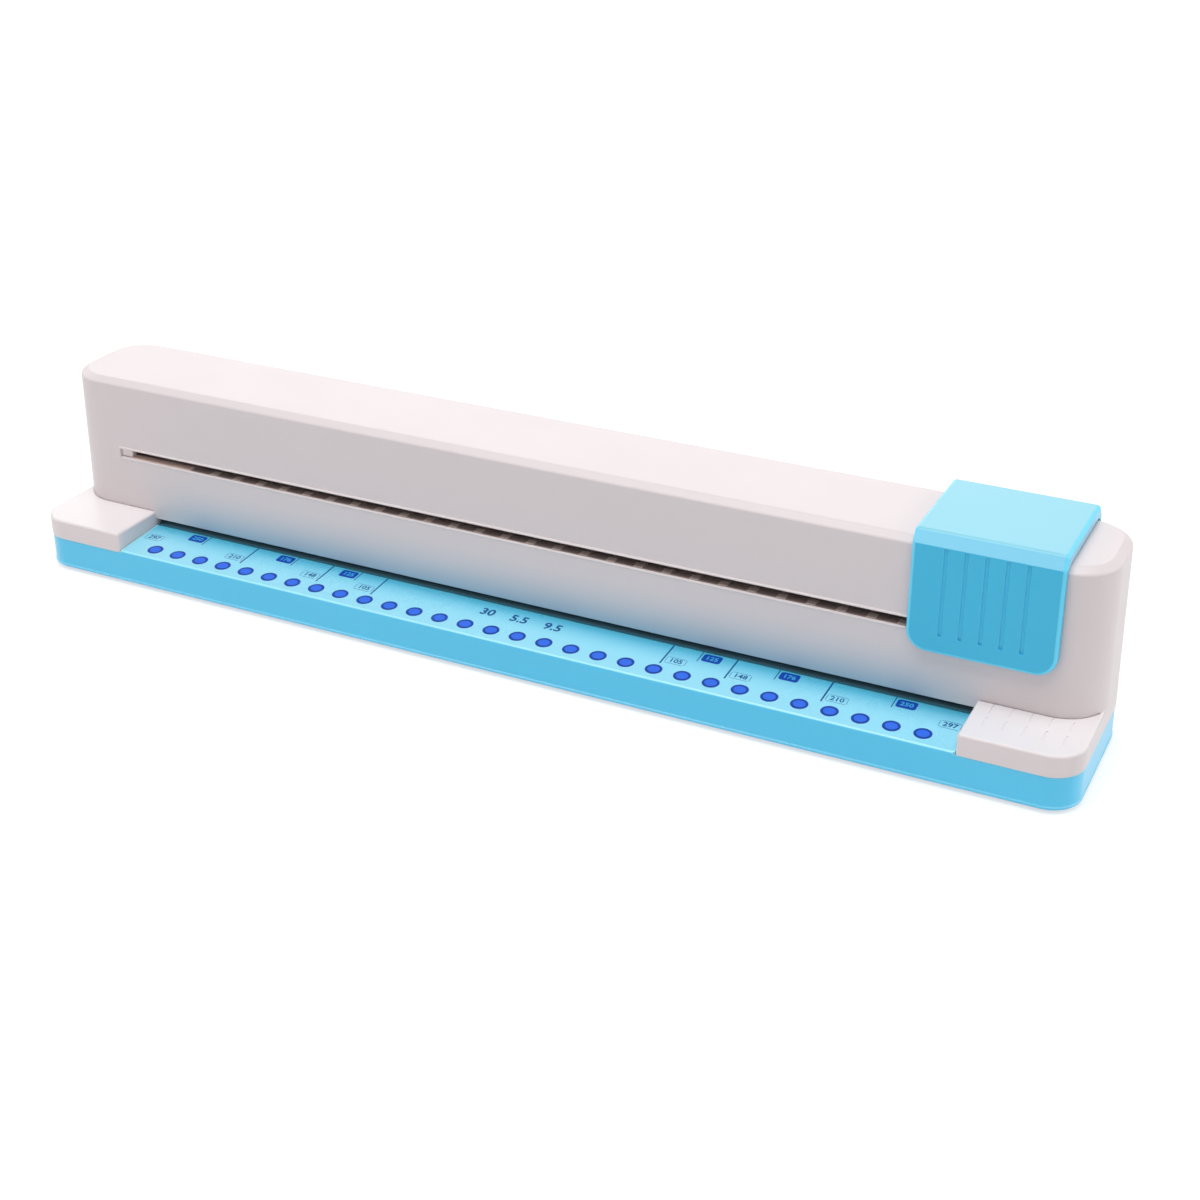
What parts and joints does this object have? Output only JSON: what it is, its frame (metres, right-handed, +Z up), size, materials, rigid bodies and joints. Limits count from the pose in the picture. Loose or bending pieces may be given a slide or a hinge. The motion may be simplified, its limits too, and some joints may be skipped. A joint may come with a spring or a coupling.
{
  "type": "sliding multi-hole paper punch",
  "caption": "Long desk punch with a sheet platform between two end wings and a slotted tower, whose straddling cap is slid along to press a row of round pins through the sheet.",
  "frame": {"origin": "on the standing surface, under the middle of the whole punch with its cap", "axes": "+X along the row of holes towards the parked cap, +Y towards the rear, +Z up"},
  "size_m": [0.368, 0.0624, 0.0703],
  "materials": {
    "white_shell": "smooth moulded white plastic, satin gloss",
    "blue_base": "smooth moulded light blue plastic, satin gloss",
    "blue_cap": "smooth moulded sky blue plastic, glossy",
    "clear_blue": "translucent light blue plastic",
    "black_pad": "finely textured dark foam rubber",
    "white_plug": "matt white plastic",
    "steel_plate": "zinc plated pressed steel",
    "dark_steel": "blackened pressed steel",
    "pin_steel": "blackened tool steel",
    "spring_wire": "drawn spring wire",
    "roller_steel": "turned steel",
    "screw_steel": "zinc plated steel"
  },
  "bodies": {
    "base": {"base_deck": "blue_base", "bottom_plate": "blue_base", "nonslip_pad": "black_pad", "housing_shell": "white_shell", "die_plate": "steel_plate", "gap_spacers": "steel_plate", "paper_stop": "steel_plate", "guide_channel": "dark_steel", "stop_rivets": "steel_plate", "rail_bracket_left": "steel_plate", "rail_bracket_right": "steel_plate", "reaction_rail": "steel_plate", "frame_screws": "screw_steel", "rail_screws": "screw_steel", "cover_screws": "screw_steel", "bottom_screws": "screw_steel", "end_bumpers_left": "white_plug", "end_bumpers_right": "white_plug", "return_springs": "spring_wire"},
    "slider": {"slider_cap": "blue_cap", "carriage_frame": "steel_plate", "carriage_screws": "screw_steel", "roller_axle_left": "roller_steel", "roller_axle_right": "roller_steel"},
    "cam": {"press_cam": "dark_steel"},
    "left_roller": {"top_roller_left": "roller_steel"},
    "right_roller": {"top_roller_right": "roller_steel"},
    "door": {"waste_door": "clear_blue"},
    "pin_01": {"punch_pin_01": "pin_steel"},
    "pin_02": {"punch_pin_02": "pin_steel"},
    "pin_03": {"punch_pin_03": "pin_steel"},
    "pin_04": {"punch_pin_04": "pin_steel"},
    "pin_05": {"punch_pin_05": "pin_steel"},
    "pin_06": {"punch_pin_06": "pin_steel"},
    "pin_07": {"punch_pin_07": "pin_steel"},
    "pin_08": {"punch_pin_08": "pin_steel"},
    "pin_09": {"punch_pin_09": "pin_steel"},
    "pin_10": {"punch_pin_10": "pin_steel"},
    "pin_11": {"punch_pin_11": "pin_steel"},
    "pin_12": {"punch_pin_12": "pin_steel"},
    "pin_13": {"punch_pin_13": "pin_steel"},
    "pin_14": {"punch_pin_14": "pin_steel"},
    "pin_15": {"punch_pin_15": "pin_steel"},
    "pin_16": {"punch_pin_16": "pin_steel"},
    "pin_17": {"punch_pin_17": "pin_steel"},
    "pin_18": {"punch_pin_18": "pin_steel"},
    "pin_19": {"punch_pin_19": "pin_steel"},
    "pin_20": {"punch_pin_20": "pin_steel"},
    "pin_21": {"punch_pin_21": "pin_steel"},
    "pin_22": {"punch_pin_22": "pin_steel"},
    "pin_23": {"punch_pin_23": "pin_steel"},
    "pin_24": {"punch_pin_24": "pin_steel"},
    "pin_25": {"punch_pin_25": "pin_steel"},
    "pin_26": {"punch_pin_26": "pin_steel"},
    "pin_27": {"punch_pin_27": "pin_steel"},
    "pin_28": {"punch_pin_28": "pin_steel"},
    "pin_29": {"punch_pin_29": "pin_steel"},
    "pin_30": {"punch_pin_30": "pin_steel"}
  },
  "joints": [
    {"name": "cap_slide", "type": "slide", "parent": "base", "child": "slider", "axis": [-1, 0, 0], "range_m": [0, 0.2978]},
    {"name": "cam_drop", "type": "slide", "parent": "slider", "child": "cam", "axis": [0, 0, -1], "range_m": [0, 0.0054]},
    {"name": "left_roller_spin", "type": "hinge", "parent": "slider", "child": "left_roller", "pos_m": [0.1349, 0.00905, 0.05625], "axis": [0, 1, 0], "continuous": true},
    {"name": "right_roller_spin", "type": "hinge", "parent": "slider", "child": "right_roller", "pos_m": [0.1629, 0.00905, 0.05625], "axis": [0, 1, 0], "continuous": true},
    {"name": "door_hinge", "type": "hinge", "parent": "base", "child": "door", "pos_m": [0, -0.0143, 0.0045], "axis": [-1, 0, 0], "range_deg": [0, 75]},
    {"name": "pin_01_drop", "type": "slide", "parent": "base", "child": "pin_01", "axis": [0, 0, -1], "range_m": [0, 0.005], "stiffness_N_per_m": 400, "springref_m": -0.002, "deforming": ["return_springs"]},
    {"name": "pin_02_drop", "type": "slide", "parent": "base", "child": "pin_02", "axis": [0, 0, -1], "range_m": [0, 0.005], "stiffness_N_per_m": 400, "springref_m": -0.002, "deforming": ["return_springs"]},
    {"name": "pin_03_drop", "type": "slide", "parent": "base", "child": "pin_03", "axis": [0, 0, -1], "range_m": [0, 0.005], "stiffness_N_per_m": 400, "springref_m": -0.002, "deforming": ["return_springs"]},
    {"name": "pin_04_drop", "type": "slide", "parent": "base", "child": "pin_04", "axis": [0, 0, -1], "range_m": [0, 0.005], "stiffness_N_per_m": 400, "springref_m": -0.002, "deforming": ["return_springs"]},
    {"name": "pin_05_drop", "type": "slide", "parent": "base", "child": "pin_05", "axis": [0, 0, -1], "range_m": [0, 0.005], "stiffness_N_per_m": 400, "springref_m": -0.002, "deforming": ["return_springs"]},
    {"name": "pin_06_drop", "type": "slide", "parent": "base", "child": "pin_06", "axis": [0, 0, -1], "range_m": [0, 0.005], "stiffness_N_per_m": 400, "springref_m": -0.002, "deforming": ["return_springs"]},
    {"name": "pin_07_drop", "type": "slide", "parent": "base", "child": "pin_07", "axis": [0, 0, -1], "range_m": [0, 0.005], "stiffness_N_per_m": 400, "springref_m": -0.002, "deforming": ["return_springs"]},
    {"name": "pin_08_drop", "type": "slide", "parent": "base", "child": "pin_08", "axis": [0, 0, -1], "range_m": [0, 0.005], "stiffness_N_per_m": 400, "springref_m": -0.002, "deforming": ["return_springs"]},
    {"name": "pin_09_drop", "type": "slide", "parent": "base", "child": "pin_09", "axis": [0, 0, -1], "range_m": [0, 0.005], "stiffness_N_per_m": 400, "springref_m": -0.002, "deforming": ["return_springs"]},
    {"name": "pin_10_drop", "type": "slide", "parent": "base", "child": "pin_10", "axis": [0, 0, -1], "range_m": [0, 0.005], "stiffness_N_per_m": 400, "springref_m": -0.002, "deforming": ["return_springs"]},
    {"name": "pin_11_drop", "type": "slide", "parent": "base", "child": "pin_11", "axis": [0, 0, -1], "range_m": [0, 0.005], "stiffness_N_per_m": 400, "springref_m": -0.002, "deforming": ["return_springs"]},
    {"name": "pin_12_drop", "type": "slide", "parent": "base", "child": "pin_12", "axis": [0, 0, -1], "range_m": [0, 0.005], "stiffness_N_per_m": 400, "springref_m": -0.002, "deforming": ["return_springs"]},
    {"name": "pin_13_drop", "type": "slide", "parent": "base", "child": "pin_13", "axis": [0, 0, -1], "range_m": [0, 0.005], "stiffness_N_per_m": 400, "springref_m": -0.002, "deforming": ["return_springs"]},
    {"name": "pin_14_drop", "type": "slide", "parent": "base", "child": "pin_14", "axis": [0, 0, -1], "range_m": [0, 0.005], "stiffness_N_per_m": 400, "springref_m": -0.002, "deforming": ["return_springs"]},
    {"name": "pin_15_drop", "type": "slide", "parent": "base", "child": "pin_15", "axis": [0, 0, -1], "range_m": [0, 0.005], "stiffness_N_per_m": 400, "springref_m": -0.002, "deforming": ["return_springs"]},
    {"name": "pin_16_drop", "type": "slide", "parent": "base", "child": "pin_16", "axis": [0, 0, -1], "range_m": [0, 0.005], "stiffness_N_per_m": 400, "springref_m": -0.002, "deforming": ["return_springs"]},
    {"name": "pin_17_drop", "type": "slide", "parent": "base", "child": "pin_17", "axis": [0, 0, -1], "range_m": [0, 0.005], "stiffness_N_per_m": 400, "springref_m": -0.002, "deforming": ["return_springs"]},
    {"name": "pin_18_drop", "type": "slide", "parent": "base", "child": "pin_18", "axis": [0, 0, -1], "range_m": [0, 0.005], "stiffness_N_per_m": 400, "springref_m": -0.002, "deforming": ["return_springs"]},
    {"name": "pin_19_drop", "type": "slide", "parent": "base", "child": "pin_19", "axis": [0, 0, -1], "range_m": [0, 0.005], "stiffness_N_per_m": 400, "springref_m": -0.002, "deforming": ["return_springs"]},
    {"name": "pin_20_drop", "type": "slide", "parent": "base", "child": "pin_20", "axis": [0, 0, -1], "range_m": [0, 0.005], "stiffness_N_per_m": 400, "springref_m": -0.002, "deforming": ["return_springs"]},
    {"name": "pin_21_drop", "type": "slide", "parent": "base", "child": "pin_21", "axis": [0, 0, -1], "range_m": [0, 0.005], "stiffness_N_per_m": 400, "springref_m": -0.002, "deforming": ["return_springs"]},
    {"name": "pin_22_drop", "type": "slide", "parent": "base", "child": "pin_22", "axis": [0, 0, -1], "range_m": [0, 0.005], "stiffness_N_per_m": 400, "springref_m": -0.002, "deforming": ["return_springs"]},
    {"name": "pin_23_drop", "type": "slide", "parent": "base", "child": "pin_23", "axis": [0, 0, -1], "range_m": [0, 0.005], "stiffness_N_per_m": 400, "springref_m": -0.002, "deforming": ["return_springs"]},
    {"name": "pin_24_drop", "type": "slide", "parent": "base", "child": "pin_24", "axis": [0, 0, -1], "range_m": [0, 0.005], "stiffness_N_per_m": 400, "springref_m": -0.002, "deforming": ["return_springs"]},
    {"name": "pin_25_drop", "type": "slide", "parent": "base", "child": "pin_25", "axis": [0, 0, -1], "range_m": [0, 0.005], "stiffness_N_per_m": 400, "springref_m": -0.002, "deforming": ["return_springs"]},
    {"name": "pin_26_drop", "type": "slide", "parent": "base", "child": "pin_26", "axis": [0, 0, -1], "range_m": [0, 0.005], "stiffness_N_per_m": 400, "springref_m": -0.002, "deforming": ["return_springs"]},
    {"name": "pin_27_drop", "type": "slide", "parent": "base", "child": "pin_27", "axis": [0, 0, -1], "range_m": [0, 0.005], "stiffness_N_per_m": 400, "springref_m": -0.002, "deforming": ["return_springs"]},
    {"name": "pin_28_drop", "type": "slide", "parent": "base", "child": "pin_28", "axis": [0, 0, -1], "range_m": [0, 0.005], "stiffness_N_per_m": 400, "springref_m": -0.002, "deforming": ["return_springs"]},
    {"name": "pin_29_drop", "type": "slide", "parent": "base", "child": "pin_29", "axis": [0, 0, -1], "range_m": [0, 0.005], "stiffness_N_per_m": 400, "springref_m": -0.002, "deforming": ["return_springs"]},
    {"name": "pin_30_drop", "type": "slide", "parent": "base", "child": "pin_30", "axis": [0, 0, -1], "range_m": [0, 0.005], "stiffness_N_per_m": 400, "springref_m": -0.002, "deforming": ["return_springs"]}
  ],
  "couplings": [
    {"joint": "left_roller_spin", "follows": "cap_slide", "rad_per_m": 181.82},
    {"joint": "right_roller_spin", "follows": "cap_slide", "rad_per_m": 181.82}
  ]
}
